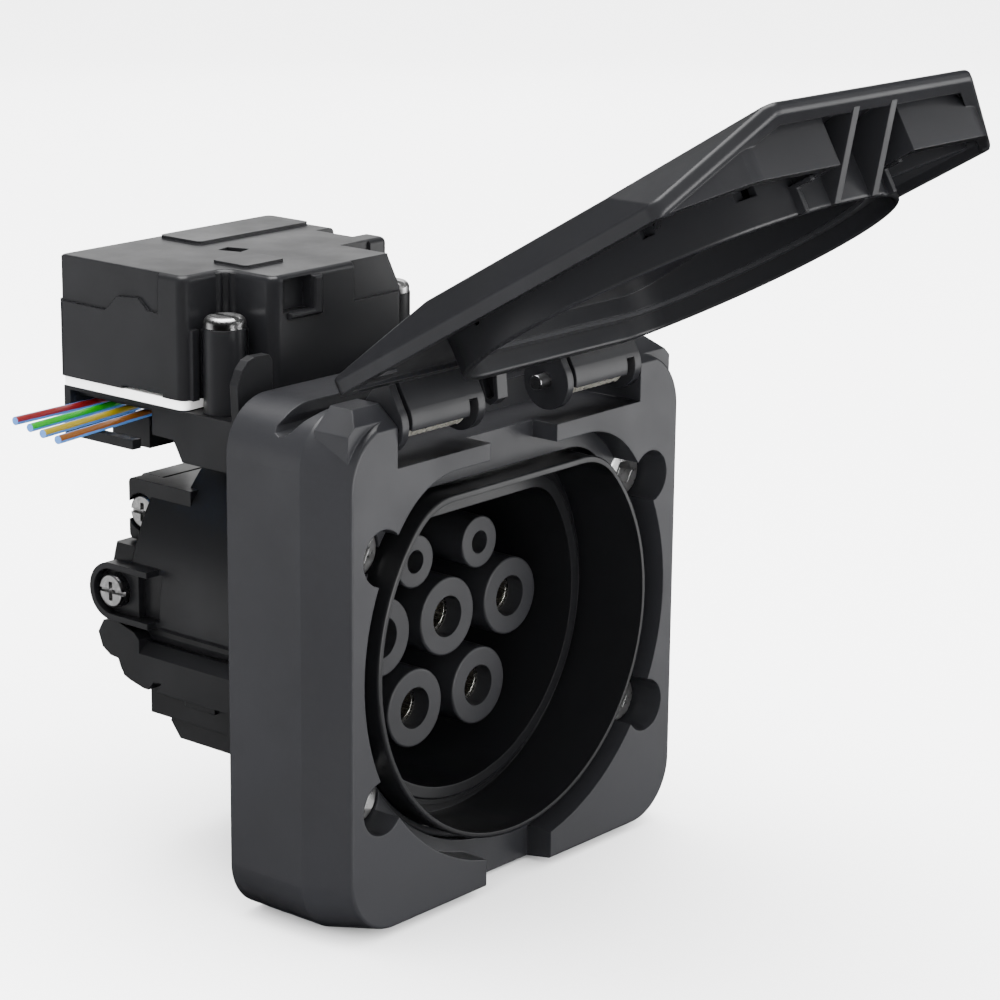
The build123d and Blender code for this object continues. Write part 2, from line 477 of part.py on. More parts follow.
ROOF = [(KN_R, 0.0), (KN_R, 4.9), (6.8, 4.9), (6.8, 7.4), (5.3, 7.35), (0.3, 4.6), (-1.6, 4.3), (-1.3, 3.2), (3.2, 0.0)]
for xo in (HL_X0, HR_X0):
    kn = cxl(0, -0.3, 4.9, xo, xo + 1.6) + exl([(4.85, 0.0), (5.0, 4.9), (6.8, 4.9), (6.8, 7.4), (5.3, 7.35), (-1.6, 4.2), (0, 0)], xo, xo + 1.6)
    # shell over the spring, cut back for the spring's leg near its right end
    sh = cxl(0, 0, KN_R, xo + 2.9, xo + 19.4) & exl([(0, 0), (5, -5.0), (9, -5.0), (9, 9), (-3.2, 9), (-2.0, 5.0)], xo + 2.9, xo + 19.4)
    sh += exl(ROOF, xo + 2.9, xo + 19.4)
    sh -= cxl(0, 0, 3.45, xo + 2.0, xo + 19.3)
    sh -= exl([(1.0, -6), (8, -6), (8, -0.7), (1.0, -0.7)], xo + 17.2, xo + 19.3)
    kn += sh
    kn += cxl(0, 0, KN_R, xo + 19.3, xo + 21.1) + exl(ROOF, xo + 19.3, xo + 21.1)
    # roof bridge between the plate and the shell, out of sight above the spring
    kn += exl([(5.3, 4.9), (6.8, 4.9), (6.8, 7.4), (5.3, 7.35)], xo, xo + 21.1)
    kn -= cxl(0, 0, PIN_R + 0.05, xo - 1, xo + 23)
    cover += kn
# stop lugs beside the ears
for sx in (-1, 1):
    x0, x1 = (33.4, 39.0) if sx > 0 else (-39.0, -33.4)
    cover += exl([(5.4, 5.2), (9.5, 5.6), (11.0, 9.5), (6.0, 9.0)], x0, x1)
# rimmed hook plate between the knuckles
hook = exl([(5.4, 7.3), (6.8, 7.3), (6.8, 5.0), (6.1, 1.8), (4.4, -1.9), (2.3, -2.2), (1.2, -0.9), (1.9, 2.6), (3.9, 5.0)], -7.6, -5.0)
hook -= exl([(4.6, 4.6), (5.2, 1.9), (3.9, -1.1), (2.6, -1.3), (2.1, -0.7), (2.7, 2.4)], -8.0, -6.2)
cover += hook
COVER_LOC = Location((0, HINGE_Y, HINGE_Z), (-OPEN_DEG, 0, 0))
save("cover", COVER_LOC * cover)

cseal = ez(deeL(36.1, 28.8, 12.0) - deeL(33.4, 26.1, 10.2), 3.95, 4.6)
save("cover_seal", COVER_LOC * cseal)

# --------------------------------------------------------- hinge pins, springs
for sx, nm in ((-1, "left"), (1, "right")):
    a, b = (7.9, 37.1)
    pin = cx(HINGE_Y, HINGE_Z, PIN_R, *((a, b) if sx > 0 else (-b, -a)))
    pin = edge_fillet(pin, lambda e: True, 0.25)
    save("hinge_pin_%s" % nm, pin)

# torsion springs: a wound body round each pin, one leg towards the cavity
# floor, the other towards the cover's roof web
WIRE = 0.42
COIL_R = 2.5
COIL_PITCH = 1.18
COIL_N = 13
for nm, xo in (("left", HL_X0), ("right", HR_X0)):
    xs, xe = xo + 2.2, xo + 2.2 + COIL_PITCH * COIL_N
    body = cx(HINGE_Y, HINGE_Z, COIL_R + 0.2, xs, xe)
    for i in range(COIL_N):
        x = xs + COIL_PITCH * (i + 0.5)
        body += cx(HINGE_Y, HINGE_Z, COIL_R + WIRE, x - 0.36, x + 0.36)
    body += Pos(xs + 0.6, HINGE_Y - 2.4, HINGE_Z - 1.9) * Cylinder(WIRE, 4.4)
    body += Pos(xe - 0.6, HINGE_Y + 2.4, HINGE_Z + 0.6) * Cylinder(WIRE, 3.2)
    body -= cx(HINGE_Y, HINGE_Z, COIL_R - WIRE, xs - 1, xe + 1)
    save("torsion_spring_%s" % nm, body)

# the four cut leads: depth at the stub's end and at the cut end, and how far
# left the cut end lies
LEAD_Z = 35.0
LEAD_R = 0.75
LEADS = [("lead_red", 72.9, 72.6, -49.6), ("lead_green", 69.4, 67.0, -51.2), ("lead_yellow", 65.3, 62.2, -52.6), ("lead_brown", 60.8, 57.2, -53.7)]
LEAD_X0, LEAD_X1 = -27.5, -19.0   # stub's end, lead's inner end


def lead_line(ys, ye, xe, x):
    """Depth of a lead's axis at x."""
    return ys + (ye - ys) * (x - LEAD_X0) / (xe - LEAD_X0)


def rod(p, q, r):
    d = Vector(*q) - Vector(*p)
    return extrude(Plane(origin=p, z_dir=d.normalized()) * Circle(r), amount=d.length)


# ------------------------------------------------------------- lock bracket
br = bx(BX0, BX1, 27.0, BY1, BR_Z0, BR_Z1)
br = edge_fillet(br, lambda e: abs(e.center().Y - BY1) < 0.01 and abs(e.center().Z - 37.3) < 0.1, 2.0)
br += ex([(27.0, BR_Z1), (27.0, 29.2), (47.2, 29.2), (49.3, 32.8), (59.4, 33.0), (59.4, 29.3), (BY1, 29.3), (BY1, BR_Z1)], BX0, BX0 + 2.0)
# window behind the leads
br -= bx(BX0 - 1, BX0 + 2.1, 54.4, 75.0, 31.0, BR_Z0 + 1.2)
# closed back and hood behind the lead stubs
br += bx(BX0 + 1.0, -14.0, 74.9, BY1, 29.6, BR_Z0 + 0.1)
br += ex([(67.0, BR_Z0 + 0.1), (67.0, 26.2), (BY1, 26.2), (BY1, BR_Z0 + 0.1)], -23.3, -14.0)
br += bx(-23.3, -14.0, 57.4, 67.1, 33.5, BR_Z0 + 0.1)
for nm, ys, ye, xe in LEADS:
    br -= rod((-25.0, lead_line(ys, ye, xe, -25.0), LEAD_Z), (LEAD_X1, lead_line(ys, ye, xe, LEAD_X1), LEAD_Z), LEAD_R)
# front lip, tongue beside the screw column
br += bx(BX0, BX1, 26.8, 28.6, 33.4, BR_Z1)
tongue = Polygon((-38.8, 36.4), (-39.3, 46.2), (-38.2, 48.6), (-36.8, 50.0), (-35.2, 50.5), (-31.8, 50.4), (-31.0, 49.4), (-31.0, 36.4), align=None)
br += ey(tongue, 29.0, 30.8)
# spacer pad down to the insert body, with the lock pin guide
br += bx(-9, 9, 31.0, 58.0, 33.2, BR_Z0 + 0.1)
br -= cz(0, LOCK_Y, LOCK_R + 0.06, 30, 40)
# screw posts for the lock unit
POST = ((-29.9, 41.2), (11.9, 41.6))
for (x, y) in POST:
    br -= cz(x, y, 1.5, 30, 45)
save("lock_bracket", br)

# ------------------------------------------------------- lock unit base plate
def case_plan(o):
    """Plan of the lock unit, taken in by o; the front corners are stepped."""
    pts = [(BX0 + o, BY1 - o), (BX1 - o, BY1 - o), (BX1 - o, 47.0 + o), (7.4 - o, 47.0 + o), (7.4 - o, BY0 + o), (-24.4 + o, BY0 + o), (-24.4 + o, 46.4 + o), (BX0 + o, 46.4 + o)]
    sk = Polygon(*pts, align=None)
    return sk


def round_plan(sk, r_out, r_in):
    vs = sk.vertices()
    try:
        return fillet(vs, radius=r_out)
    except Exception:
        return sk


base = ez(round_plan(case_plan(-0.3), 1.6, 1.0), BASE_Z0, BASE_Z1)
base += cz(POST[1][0], POST[1][1], 4.3, BASE_Z0, BASE_Z1) + bx(POST[1][0] - 3.4, POST[1][0] + 3.4, POST[1][1], 49.0, BASE_Z0, BASE_Z1)
base -= cz(POST[0][0], POST[0][1], 4.1, 30, 45) + cz(POST[1][0], POST[1][1], 1.9, 30, 45)
base -= cz(0, LOCK_Y, LOCK_R + 0.06, 30, 45)
save("lock_base_plate", base)

# ---------------------------------------------------------- lock unit case
Z0 = BASE_Z1 + 0.02
case = ez(round_plan(case_plan(-0.7), 1.8, 1.0), Z0, BOX_TOP)
case = edge_fillet(case, lambda e: abs(e.center().Z - BOX_TOP) < 0.01, 1.1)
# the upper part of the back and of the left side is set in above a ledge,
# which climbs over a small bump
case -= ex([(90, 53.7), (64.9, 53.4), (61.9, 56.2), (56.9, 56.6), (54.6, 54.7), (51.8, 54.5), (51.8, 70), (90, 70)], BX0 - 5, BX0 - 0.05)
case -= bx(-60, 60, BY1 - 0.2, 90, 53.7, 70)
# inside
case -= ez(case_plan(1.8), BASE_Z1 - 1, BOX_TOP - 2.0)
# front corners: rounded wall below, scoop for the screwdriver above
case += ez(Pos(-23.2, 38.4) * RectangleRounded(3.2, 7.6, 1.5), Z0, 52.4)
case += bx(-33.9, -32.4, 44.9, 47.2, Z0, 52.4) + bx(-26.6, -25.9, 43.0, 47.5, Z0, 51.8)
case += cz(-26.6, 46.2, 0.9, 52.0, BOX_TOP - 0.4) + cz(-24.6, 44.2, 0.9, 52.0, BOX_TOP - 0.4)
# screw columns in the stepped corners
for (x, y) in POST:
    case += cz(x, y, 3.75, BR_Z1 + 0.02 if x < 0 else Z0, 53.0)
    case += bx(min(x - 1.2, x + 1.2), max(x - 1.2, x + 1.2), y, 48.0, Z0, 52.0)
    sgn = 1 if x < 0 else -1
    case += bx(min(x, x + sgn * 6), max(x, x + sgn * 6), y - 0.8, y + 0.8, Z0, 52.0)
    case -= cz(x, y, 1.75, 36, 54)
# raised pads and a drive pocket on the top face
case += ez(Pos(2.1, 70.4) * RectangleRounded(28.2, 10.4, 1.2), BOX_TOP - 0.5, BOX_TOP + 0.5)
case += ez(Pos(-17.4, 47.8) * RectangleRounded(9.6, 8.4, 1.0), BOX_TOP - 0.5, BOX_TOP + 0.45)
case -= ez(Polygon((-13.4, 59.2), (-10.2, 60.0), (-8.9, 56.0), (-12.0, 55.0), align=None), BOX_TOP - 1.1, BOX_TOP + 1)
# pocket in the front, framed below and on its right by a rounded bead
case -= bx(-22.6, -15.8, BY0 - 3, BY0 + 1.25, 55.2, 60.9)
bead = bx(-21.6, -13.5, BY0 - 1.5, BY0 + 1, 53.9, 55.1) + bx(-15.7, -13.5, BY0 - 1.5, BY0 + 1, 53.9, 60.7)
bead = edge_fillet(bead, lambda e: abs(e.center().Y - (BY0 - 1.5)) < 0.01, 0.5)
case += bead
# set-in corner on the right of the front, with a sloping side
case -= bx(-5.0, 12, BY0 - 3, BY0 + 0.35, 54.7, BOX_TOP + 1)
side_pl = Plane(origin=(0, 20, 0), x_dir=(1, 0, 0), z_dir=(0, -1, 0))
slope = extrude(side_pl * Polygon((4.4, BOX_TOP + 2), (4.8, BOX_TOP - 0.4), (8.2, 54.7), (8.2, 50), (12, 50), (12, BOX_TOP + 2), align=None), amount=27.0 - 0.2, dir=(0, 1, 0))
case -= slope - cz(POST[1][0], POST[1][1], 3.76, 30, 53.0)
case -= bx(12.4, 17.4, 51.0, 60.0, 58.6, BOX_TOP + 1)
# web that carries the motor and the gear axle
case += bx(-23.4, 6.0, 44.3, 45.8, BASE_Z1 + 0.9, BOX_TOP - 1.5)
case -= cy(-5.55, 49.9, 1.0, 36.2, 45.7)
case -= cy(-17.6, 49.9, 2.65, 44, 46)
# clearance under the case for the lock pin and its guide, lead window
case -= cz(0, LOCK_Y, LOCK_R + 0.4, BASE_Z1 - 1, 47)
case -= bx(BX0 - 2, BX0 + 3, 51.0, 61.0, BASE_Z1 - 1, BASE_Z1 + 0.6)
save("lock_case", case)

ls = None
for (x, y) in POST:
    h = cz(x, y, 3.6, 53.02, 55.0)
    h = edge_fillet(h, lambda e: abs(e.center().Z - 55.0) < 0.01, 1.2)
    h -= bx(x - 0.6, x + 0.6, y - 4, y + 4, 54.1, 57)
    s = h + cz(x, y, 1.5, 36.8, 53.1)
    ls = s if ls is None else ls + s
save("lock_screws", ls)

# ------------------------------------------------------------ lock mechanism
# The pin is round below and carries a rack above; a compound gear on a fixed
# axle turns in the rack, and a small motor drives the gear's large wheel.
PIN_TOP = 58.4
RACK_X = -1.9             # rack pitch line, teeth towards -X
MOD = 0.6
N_PIN, N_WHEEL, N_MOT = 12, 30, 10
ADD, DED, BACKLASH = 0.62, 0.80, 0.07
PA = radians(20)
MESH_GAP = 0.05
GEAR_X, GEAR_Z = RACK_X - MOD * N_PIN / 2 - MESH_GAP, 49.9
MOT_X = GEAR_X - MOD * (N_WHEEL + N_MOT) / 2 - MESH_GAP


def inv(a):
    return tan(a) - a


def gear(n, thick, phase=0.0, bore=0.0):
    """Involute spur gear about +Y at the origin, from y = 0 to thick."""
    rp = MOD * n / 2
    rb, ra, rf = rp * cos(PA), rp + ADD * MOD, rp - DED * MOD
    ht = pi / (2 * n) - BACKLASH / (2 * rp)
    flank = []
    for k in range(6):
        r = max(rb, rf) + (ra - max(rb, rf)) * k / 5
        al = 0.0
        if rb < r:
            al = atan2(sqrt(r * r - rb * rb), rb)
        flank.append((r, ht + inv(PA) - inv(al)))
    pts = []
    for i in range(n):
        a = 2 * pi * i / n + phase
        if rf < rb:
            pts.append((rf, a - flank[0][1]))
        pts += [(r, a - h) for r, h in flank]
        pts += [(r, a + h) for r, h in reversed(flank)]
        if rf < rb:
            pts.append((rf, a + flank[0][1]))
    g = extrude(XZ(0) * Polygon(*[(r * cos(t), r * sin(t)) for r, t in pts], align=None), amount=thick, dir=(0, 1, 0))
    if bore:
        g -= cy(0, 0, bore, -1, thick + 1)
    return g


lock = cz(0, LOCK_Y, LOCK_R, 21.4, 46.4)
lock = edge_fillet(lock, lambda e: abs(e.center().Z - 21.4) < 0.01, 0.9)
lock += bx(RACK_X + DED * MOD, 2.1, LOCK_Y - 1.0, LOCK_Y + 2.3, 46.0, PIN_TOP)
pitch = pi * MOD
for i in range(-1, 5):
    zc = GEAR_Z + (i - 0.5) * pitch
    w = pitch / 4 - BACKLASH / 2
    tooth = Polygon((RACK_X + DED * MOD + 0.1, zc - w - (DED * MOD + 0.1) * tan(PA)), (RACK_X - ADD * MOD, zc - w + ADD * MOD * tan(PA)),
                    (RACK_X - ADD * MOD, zc + w - ADD * MOD * tan(PA)), (RACK_X + DED * MOD + 0.1, zc + w + (DED * MOD + 0.1) * tan(PA)), align=None)
    lock += extrude(XZ(LOCK_Y - 1.0) * tooth, amount=3.3, dir=(0, 1, 0))
save("locking_pin", lock)

gp = Location((GEAR_X, LOCK_Y - 1.2, GEAR_Z)) * gear(N_PIN, 3.7, bore=1.05)
gw = Location((GEAR_X, LOCK_Y + 2.9, GEAR_Z)) * gear(N_WHEEL, 2.4, bore=1.05)
hub = Location((GEAR_X, LOCK_Y + 2.4, GEAR_Z)) * (cy(0, 0, 2.4, 0, 0.6) - cy(0, 0, 1.05, -1, 2))
save("drive_gear", gp + gw + hub)
axle = cy(GEAR_X, GEAR_Z, 1.0, 36.2, 45.7)
save("gear_axle", axle)

motor = cy(MOT_X, GEAR_Z, 4.8, 48.6, 66.0) & bx(MOT_X - 4.9, MOT_X + 4.9, 46, 67, GEAR_Z - 4.0, GEAR_Z + 4.0)
motor += cy(MOT_X, GEAR_Z, 2.65, 44.7, 48.7)
motor -= cy(MOT_X, GEAR_Z, 0.8, 44, 60)
save("lock_motor", motor)
mg = Location((MOT_X, LOCK_Y + 3.0, GEAR_Z)) * gear(N_MOT, 2.2, phase=pi / N_MOT)
mg += cy(MOT_X, GEAR_Z, 0.75, LOCK_Y + 3.0, 59.0)
save("motor_pinion", mg)

# circuit board on the base plate, position switch and lead socket
board = bx(-30.8, 14.0, 49.5, 73.6, BASE_Z1 + 1.6, BASE_Z1 + 3.2)
board += bx(-30.8, -26.0, 49.5, 56, BASE_Z1, BASE_Z1 + 1.7) + bx(9.0, 14.0, 68, 73.6, BASE_Z1, BASE_Z1 + 1.7)
save("control_board", board)
sw = bx(3.2, 5.5, 37.4, 41.0, BASE_Z1, BASE_Z1 + 6.0) + bx(2.8, 3.3, 38.0, 39.4, BASE_Z1 + 4.0, BASE_Z1 + 5.0)
save("position_switch", sw)

# lead block under the bracket plate: four white stubs point at the window in
# the bracket's left side, and a cut lead leaves each of them
blk = bx(-24.3, -23.35, 57.6, 74.8, 34.2, 35.8)
for nm, ys, ye, xe in LEADS:
    a = (LEAD_X0, lead_line(ys, ye, xe, LEAD_X0), LEAD_Z)
    b = (-24.0, lead_line(ys, ye, xe, -24.0), LEAD_Z)
    stub = rod(a, b, 1.3)
    blk += stub
for nm, ys, ye, xe in LEADS:
    a = (LEAD_X0 - 1, lead_line(ys, ye, xe, LEAD_X0 - 1), LEAD_Z)
    b = (LEAD_X1, lead_line(ys, ye, xe, LEAD_X1), LEAD_Z)
    blk -= rod(a, b, LEAD_R)
save("lead_block", blk)
for nm, ys, ye, xe in LEADS:
    save(nm, rod((xe, ye, LEAD_Z), (LEAD_X1, lead_line(ys, ye, xe, LEAD_X1), LEAD_Z), LEAD_R))

print("hinge", HINGE_Y - PANEL_Y, HINGE_Z)
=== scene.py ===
import math
import random

import bmesh
import bpy
from mathutils import Matrix, Vector


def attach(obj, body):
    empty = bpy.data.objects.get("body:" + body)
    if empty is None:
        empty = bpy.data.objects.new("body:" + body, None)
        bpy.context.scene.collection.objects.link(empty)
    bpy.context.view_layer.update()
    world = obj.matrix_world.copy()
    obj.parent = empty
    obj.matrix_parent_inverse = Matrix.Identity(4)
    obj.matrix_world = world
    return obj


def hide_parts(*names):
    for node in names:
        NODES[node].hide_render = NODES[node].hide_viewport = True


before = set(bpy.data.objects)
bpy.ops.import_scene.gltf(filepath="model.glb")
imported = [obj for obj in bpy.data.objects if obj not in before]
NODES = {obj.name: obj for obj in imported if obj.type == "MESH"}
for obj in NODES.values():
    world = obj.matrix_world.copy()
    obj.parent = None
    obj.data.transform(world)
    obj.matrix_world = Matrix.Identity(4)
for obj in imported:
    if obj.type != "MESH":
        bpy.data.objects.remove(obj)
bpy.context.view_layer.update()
SY = 26.6      # the flange's front face is at Y = -26.6 mm; helpers take depths from that face


def V(x, y, z):
    """Millimetres from the flange's front face -> metres in the frame."""
    return Vector((x / 1000.0, (y - SY) / 1000.0, z / 1000.0))


# ------------------------------------------------------------------ camera
def make_camera():
    cam = bpy.data.cameras.new("camera")
    ob = bpy.data.objects.new("camera", cam)
    bpy.context.scene.collection.objects.link(ob)
    a, e, roll = math.radians(-50.01), math.radians(15.142), math.radians(0.625)
    back = Vector((math.sin(a) * math.cos(e), -math.cos(a) * math.cos(e), math.sin(e)))
    right = Vector((math.cos(a), math.sin(a), 0.0))
    up = back.cross(right)
    r2 = right * math.cos(roll) + up * math.sin(roll)
    u2 = up * math.cos(roll) - right * math.sin(roll)
    m = Matrix((r2, u2, back)).transposed().to_4x4()
    m.translation = Vector((-0.3964928, -0.3539235, 0.1633516))
    ob.matrix_world = m
    cam.sensor_width = 36.0
    cam.lens = 112.752
    cam.clip_start, cam.clip_end = 0.02, 20.0
    bpy.context.scene.camera = ob
    return ob


camera = make_camera()

# -------------------------------------------------------------- node helpers
class Net:
    def __init__(self, name):
        self.mat = bpy.data.materials.new(name)
        self.mat.use_nodes = True
        self.t = self.mat.node_tree
        self.t.nodes.clear()
        self.out = self.n("ShaderNodeOutputMaterial")
        self.bsdf = self.n("ShaderNodeBsdfPrincipled")
        self.l(self.bsdf.outputs[0], self.out.inputs[0])

    def n(self, kind, **kw):
        nd = self.t.nodes.new(kind)
        for k, v in kw.items():
            setattr(nd, k, v)
        return nd

    def l(self, a, b):
        self.t.links.new(a, b)

    def coord(self, scale=1.0, stretch=(1, 1, 1)):
        tc = self.n("ShaderNodeTexCoord")
        mp = self.n("ShaderNodeMapping")
        mp.inputs["Scale"].default_value = tuple(scale * s for s in stretch)
        self.l(tc.outputs["Object"], mp.inputs["Vector"])
        return mp.outputs[0]

    def noise(self, vec, scale, detail=4.0, rough=0.55, dist=0.0):
        nz = self.n("ShaderNodeTexNoise")
        nz.inputs["Scale"].default_value = scale
        nz.inputs["Detail"].default_value = detail
        nz.inputs["Roughness"].default_value = rough
        nz.inputs["Distortion"].default_value = dist
        self.l(vec, nz.inputs["Vector"])
        return nz.outputs["Fac"]

    def ramp(self, fac, stops):
        r = self.n("ShaderNodeValToRGB")
        el = r.color_ramp.elements
        while len(el) > 1:
            el.remove(el[-1])
        el[0].position, el[0].color = stops[0][0], stops[0][1]
        for p, c in stops[1:]:
            e = el.new(p)
            e.color = c
        self.l(fac, r.inputs[0])
        return r.outputs[0]

    def rng(self, fac, a, b, lo=0.0, hi=1.0):
        m = self.n("ShaderNodeMapRange")
        m.inputs["From Min"].default_value = lo
        m.inputs["From Max"].default_value = hi
        m.inputs["To Min"].default_value = a
        m.inputs["To Max"].default_value = b
        self.l(fac, m.inputs["Value"])
        return m.outputs[0]

    def math(self, op, a, b=None):
        m = self.n("ShaderNodeMath", operation=op)
        for i, v in enumerate((a, b)):
            if v is None:
                continue
            if isinstance(v, (int, float)):
                m.inputs[i].default_value = v
            else:
                self.l(v, m.inputs[i])
        return m.outputs[0]

    def mix(self, fac, a, b):
        m = self.n("ShaderNodeMix", data_type="RGBA")
        self.l(fac, m.inputs[0])
        for sock, v in ((m.inputs[6], a), (m.inputs[7], b)):
            if isinstance(v, tuple):
                sock.default_value = v
            else:
                self.l(v, sock)
        return m.outputs[2]

    def bump(self, height, strength, dist, normal=None):
        b = self.n("ShaderNodeBump")
        b.inputs["Strength"].default_value = strength
        b.inputs["Distance"].default_value = dist
        self.l(height, b.inputs["Height"])
        if normal is not None:
            self.l(normal, b.inputs["Normal"])
        return b.outputs[0]

    def bevel(self, r, samples=4):
        b = self.n("ShaderNodeBevel", samples=samples)
        b.inputs["Radius"].default_value = r
        return b.outputs[0]

    def edge(self, radius, samples=4):
        """0 on flats, 1 on edges, from the difference of the rounded and the true normal."""
        g = self.n("ShaderNodeNewGeometry")
        bv = self.bevel(radius, samples)
        d = self.n("ShaderNodeVectorMath", operation="DOT_PRODUCT")
        self.l(bv, d.inputs[0])
        self.l(g.outputs["True Normal"], d.inputs[1])
        return self.rng(d.outputs["Value"], 1.0, 0.0, 0.75, 0.995)


def g4(v, t=(1.0, 1.0, 1.04)):
    return (v * t[0], v * t[1], v * t[2], 1.0)


def moulded(name, base, rough, grain=0.35, bev=0.00022, tint=(0.95, 0.965, 1.12), vary=0.16, spec=0.30, edge_highlight_gain=0.5, grain_scale=5200.0):
    """Fine-textured injection moulded plastic with rounded edges; the base colour is lightened along the edges as a
    painted highlight.
    """
    k = Net(name)
    co = k.coord()
    cloud = k.noise(co, 28.0, 3.0, 0.5)
    fine = k.noise(co, 900.0, 4.0, 0.6)
    col = k.ramp(cloud, [(0.25, g4(base * (1 - vary), tint)), (0.75, g4(base * (1 + vary), tint))])
    speck = k.ramp(fine, [(0.35, g4(base * 0.92, tint)), (0.70, g4(base * 1.10, tint))])
    m = k.n("ShaderNodeMix", data_type="RGBA", blend_type="MIX")
    m.inputs[0].default_value = 0.35
    k.l(col, m.inputs[6])
    k.l(speck, m.inputs[7])
    # painted highlight: edges get a lighter base colour (up to 1.9x base, patchy by noise) standing in for light
    # caught on rounded edges
    ed = k.edge(bev * 1.6, 3)
    painted_edge_highlight = k.math("MULTIPLY", ed, k.rng(k.noise(co, 160.0, 3.0, 0.6), 0.2, 1.0, 0.3, 0.7))
    out = k.mix(k.math("MULTIPLY", painted_edge_highlight, edge_highlight_gain), m.outputs[2], g4(base * 1.9, tint))
    k.l(out, k.bsdf.inputs["Base Color"])
    rg = k.rng(k.noise(co, 70.0, 5.0, 0.6), rough - 0.05, rough + 0.07, 0.3, 0.7)
    k.l(rg, k.bsdf.inputs["Roughness"])
    k.bsdf.inputs["Specular IOR Level"].default_value = spec
    gr = k.noise(co, grain_scale, 2.0, 0.5)
    nrm = k.bump(gr, grain, 0.00004, k.bevel(bev, 4))
    wav = k.bump(k.noise(co, 34.0, 2.0, 0.4), 0.10, 0.0004, nrm)
    k.l(wav, k.bsdf.inputs["Normal"])
    return k.mat


def metal(name, col, rough, brush=(1, 1, 1), bscale=900.0, bstr=0.25, bev=0.00015, dirt=0.35, metallic=1.0):
    k = Net(name)
    co = k.coord(1.0, brush)
    sc = k.noise(co, bscale, 4.0, 0.6)
    co2 = k.coord()
    cl = k.noise(co2, 120.0, 4.0, 0.6)
    c = k.ramp(cl, [(0.3, tuple(x * (1 - dirt) for x in col) + (1.0,)), (0.62, tuple(col) + (1.0,))])
    k.l(c, k.bsdf.inputs["Base Color"])
    k.bsdf.inputs["Metallic"].default_value = metallic
    k.l(k.rng(sc, rough - 0.06, rough + 0.12, 0.3, 0.7), k.bsdf.inputs["Roughness"])
    k.l(k.bump(sc, bstr, 0.00002, k.bevel(bev, 4)), k.bsdf.inputs["Normal"])
    return k.mat


M = {}
M["shell"] = moulded("shell_graphite", 0.0098, 0.38, grain=0.30, bev=0.00030)
M["cover"] = moulded("cover_graphite", 0.0068, 0.34, grain=0.30, bev=0.00028)
M["black"] = moulded("insert_black", 0.0038, 0.33, grain=0.16, bev=0.00022, edge_highlight_gain=0.35)
M["tower"] = moulded("carrier_black", 0.0080, 0.40, grain=0.28, bev=0.00020, edge_highlight_gain=0.3)
M["case"] = moulded("case_black", 0.0060, 0.36, grain=0.22, bev=0.00028, edge_highlight_gain=0.35)
M["bracket"] = moulded("bracket_black", 0.0055, 0.42, grain=0.28, bev=0.00022)
M["white"] = moulded("base_white", 0.78, 0.42, grain=0.18, bev=0.00020, tint=(1.0, 0.995, 0.98), vary=0.03, edge_highlight_gain=0.0)
M["rubber"] = moulded("seal_rubber", 0.012, 0.60, grain=0.5, bev=0.00015, edge_highlight_gain=0.1, grain_scale=3000.0)
M["spring"] = metal("spring_wire", (0.80, 0.77, 0.68), 0.30, bscale=1400.0, dirt=0.15, metallic=0.91)
M["screw"] = metal("screw_zinc", (0.60, 0.60, 0.60), 0.30, bscale=1600.0)
M["pin"] = metal("pin_ground", (0.40, 0.40, 0.41), 0.30, brush=(0.2, 3, 3), bscale=1500.0)
M["silver"] = metal("contact_silver", (0.82, 0.80, 0.74), 0.20, brush=(3, 0.3, 3), bscale=1200.0, dirt=0.2)
M["brass"] = metal("insert_brass", (0.74, 0.55, 0.26), 0.30, bscale=1400.0)
M["motor"] = metal("motor_can", (0.62, 0.62, 0.62), 0.28, brush=(3, 0.3, 3), bscale=700.0)
M["gear"] = moulded("gear_acetal", 0.62, 0.36, grain=0.10, bev=0.00010, tint=(1.0, 0.98, 0.93), vary=0.03, edge_highlight_gain=0.0)


def board_material():
    k = Net("board_green")
    co = k.coord()
    br = k.n("ShaderNodeTexBrick")
    br.inputs["Scale"].default_value = 260.0
    br.inputs["Mortar Size"].default_value = 0.04
    br.inputs["Color1"].default_value = (0.010, 0.085, 0.028, 1)
    br.inputs["Color2"].default_value = (0.014, 0.11, 0.035, 1)
    br.inputs["Mortar"].default_value = (0.02, 0.16, 0.05, 1)
    k.l(co, br.inputs["Vector"])
    k.l(br.outputs["Color"], k.bsdf.inputs["Base Color"])
    k.l(k.rng(k.noise(co, 400.0), 0.25, 0.40), k.bsdf.inputs["Roughness"])
    k.l(k.bump(br.outputs["Fac"], 0.3, 0.00003, k.bevel(0.0001)), k.bsdf.inputs["Normal"])
    return k.mat


M["board"] = board_material()


def lead_material(name, stripe):
    """Pale blue sheath with one broad stripe on the side towards +Z and -Y."""
    k = Net(name)
    g = k.n("ShaderNodeNewGeometry")
    d = k.n("ShaderNodeVectorMath", operation="DOT_PRODUCT")
    k.l(g.outputs["Normal"], d.inputs[0])
    d.inputs[1].default_value = (-0.10, -0.80, 0.60)
    co = k.coord()
    wob = k.rng(k.noise(co, 240.0, 2.0, 0.5), -0.03, 0.03, 0.3, 0.7)
    f = k.rng(k.math("ADD", d.outputs["Value"], wob), 0.0, 1.0, 0.66, 0.72)
    sheath = k.ramp(k.noise(co, 500.0, 3.0), [(0.3, (0.026, 0.090, 0.250, 1)), (0.7, (0.034, 0.110, 0.290, 1))])
    st = k.ramp(k.noise(co, 420.0, 3.0), [(0.3, tuple(c * 0.86 for c in stripe) + (1,)), (0.7, tuple(stripe) + (1,))])
    k.l(k.mix(f, sheath, st), k.bsdf.inputs["Base Color"])
    k.l(k.rng(k.noise(co, 900.0, 2.0), 0.30, 0.42), k.bsdf.inputs["Roughness"])
    k.l(k.bump(k.noise(co, 2600.0, 2.0), 0.15, 0.00002), k.bsdf.inputs["Normal"])
    return k.mat


